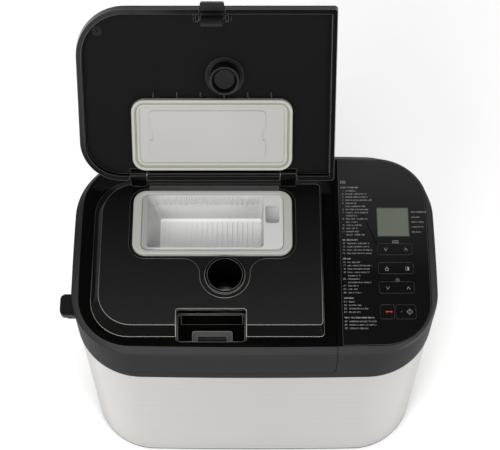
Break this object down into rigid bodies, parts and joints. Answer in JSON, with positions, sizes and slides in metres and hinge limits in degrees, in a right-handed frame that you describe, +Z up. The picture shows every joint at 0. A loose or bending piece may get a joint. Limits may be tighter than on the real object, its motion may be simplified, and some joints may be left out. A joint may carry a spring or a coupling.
{
  "type": "bread machine",
  "caption": "Countertop bread machine with a steel body, dark lid with an open dispenser cover, nut and yeast dispensers, and a control side with a display and keys.",
  "frame": {"origin": "on the table, under the middle of the body, at the middle foot's underside", "axes": "+X to the control side, +Y to the rear, +Z up"},
  "size_m": [0.4075, 0.3256, 0.5179],
  "materials": {
    "steel": "brushed",
    "band_plastic": "satin",
    "gloss_black": "gloss",
    "dark_plastic": "matte",
    "grey_plastic": "matte",
    "white_plastic": "satin",
    "silicone": "matte",
    "rubber": "matte",
    "plate_metal": "satin",
    "pan_metal": "matte",
    "zinc_steel": "satin",
    "bright_steel": "polished",
    "circuit_board": "satin",
    "screen": "gloss",
    "lcd": "gloss",
    "warm_plate": "satin"
  },
  "bodies": {
    "base": {"base_tray": "dark_plastic", "rubber_feet": "rubber", "base_screws": "zinc_steel", "steel_sleeve": "steel", "cord_gland": "dark_plastic", "chassis_plate": "zinc_steel", "top_frame": "band_plastic", "panel_film": "gloss_black", "display_lens": "screen", "lcd_module": "lcd", "key_board": "circuit_board", "power_board": "circuit_board", "baking_chamber": "zinc_steel", "temperature_sensor": "bright_steel", "heater_element": "bright_steel", "heater_clips": "zinc_steel", "pan_socket": "plate_metal", "shaft_bearing": "plate_metal", "kneading_motor": "zinc_steel", "drive_belt": "rubber", "hinge_lugs": "band_plastic"},
    "motor": {"motor_shaft": "bright_steel", "motor_pulley": "dark_plastic"},
    "drive": {"drive_pulley": "dark_plastic", "drive_shaft": "bright_steel"},
    "pan": {"bread_pan": "pan_metal", "pan_base_ring": "plate_metal", "pan_ears": "bright_steel"},
    "handle": {"pan_handle": "bright_steel"},
    "blade": {"pan_shaft": "bright_steel", "kneading_blade": "pan_metal"},
    "main_lid": {"lid_hinge_pins": "bright_steel", "lid_shell": "band_plastic", "lid_top_plate": "gloss_black", "lid_inner_plate": "plate_metal", "lid_gasket": "silicone", "lid_solenoids": "zinc_steel", "lift_tab": "dark_plastic", "latch_pocket": "gloss_black", "latch_window": "grey_plastic", "dispenser_frame": "grey_plastic", "yeast_cup": "gloss_black"},
    "dispenser": {"dispenser_box": "white_plastic"},
    "flap": {"dispenser_flap": "white_plastic", "flap_pin": "bright_steel"},
    "gate": {"yeast_gate": "bright_steel"},
    "cover": {"cover_shell": "gloss_black", "cover_panel": "dark_plastic", "cover_seal": "silicone", "seal_plate": "warm_plate", "yeast_plug": "rubber", "cover_pin": "bright_steel"},
    "latch": {"latch_lever": "gloss_black"},
    "menu": {"menu_key": "gloss_black"},
    "option": {"option_key": "gloss_black"},
    "timer": {"timer_key": "gloss_black"},
    "stop": {"stop_key": "gloss_black"},
    "start": {"start_key": "gloss_black"}
  },
  "joints": [
    {"name": "main_lid_hinge", "type": "hinge", "parent": "base", "child": "main_lid", "pos_m": [-0.055, 0.11, 0.296], "axis": [-1, 0, 0], "range_deg": [0, 80]},
    {"name": "cover_hinge", "type": "hinge", "parent": "main_lid", "child": "cover", "pos_m": [-0.055, 0.0803, 0.3544], "axis": [-1, 0, 0], "range_deg": [-130.1, 0]},
    {"name": "latch_pivot", "type": "hinge", "parent": "cover", "child": "latch", "pos_m": [-0.0445, 0.19121, 0.49449], "axis": [-1, 0, 0], "range_deg": [0, 5], "stiffness_Nm_per_rad": 0.5},
    {"name": "dispenser_lift", "type": "slide", "parent": "main_lid", "child": "dispenser", "axis": [0, 0, 1], "range_m": [0, 0.11]},
    {"name": "flap_hinge", "type": "hinge", "parent": "dispenser", "child": "flap", "pos_m": [-0.055, 0.0568, 0.3025], "axis": [1, 0, 0], "range_deg": [0, 85], "stiffness_Nm_per_rad": 0.06, "springref_deg": -20.05},
    {"name": "gate_hinge", "type": "hinge", "parent": "main_lid", "child": "gate", "pos_m": [-0.0318, -0.02, 0.2826], "axis": [1, 0, 0], "range_deg": [0, 75], "stiffness_Nm_per_rad": 0.01, "springref_deg": -20.05},
    {"name": "pan_twist", "type": "hinge", "parent": "base", "child": "pan", "pos_m": [-0.055, 0, 0.088], "axis": [0, 0, 1], "range_deg": [0, 10]},
    {"name": "handle_hinge", "type": "hinge", "parent": "pan", "child": "handle", "pos_m": [-0.055, 0, 0.264], "axis": [-1, 0, 0], "range_deg": [0, 13]},
    {"name": "drive_spin", "type": "hinge", "parent": "base", "child": "drive", "pos_m": [-0.055, 0, 0.03], "axis": [0, 0, 1], "continuous": true},
    {"name": "motor_spin", "type": "hinge", "parent": "base", "child": "motor", "pos_m": [0.112, 0, 0.03], "axis": [0, 0, 1], "continuous": true},
    {"name": "blade_spin", "type": "hinge", "parent": "pan", "child": "blade", "pos_m": [-0.055, 0, 0.108], "axis": [0, 0, 1], "continuous": true},
    {"name": "menu_rock", "type": "hinge", "parent": "base", "child": "menu", "pos_m": [0.15275, 0.0006, 0.3234], "axis": [0, 1, 0], "range_deg": [-2, 2], "stiffness_Nm_per_rad": 0.4},
    {"name": "option_rock", "type": "hinge", "parent": "base", "child": "option", "pos_m": [0.15275, -0.0219, 0.3234], "axis": [0, 1, 0], "range_deg": [-2, 2], "stiffness_Nm_per_rad": 0.4},
    {"name": "timer_rock", "type": "hinge", "parent": "base", "child": "timer", "pos_m": [0.15275, -0.0449, 0.3234], "axis": [0, 1, 0], "range_deg": [-2, 2], "stiffness_Nm_per_rad": 0.4},
    {"name": "stop_press", "type": "slide", "parent": "base", "child": "stop", "axis": [0, 0, -1], "range_m": [0, 0.0008], "stiffness_N_per_m": 800},
    {"name": "start_press", "type": "slide", "parent": "base", "child": "start", "axis": [0, 0, -1], "range_m": [0, 0.0008], "stiffness_N_per_m": 800}
  ],
  "couplings": [
    {"joint": "motor_spin", "follows": "drive_spin", "ratio": 4.4},
    {"joint": "blade_spin", "follows": "drive_spin", "ratio": 1}
  ]
}
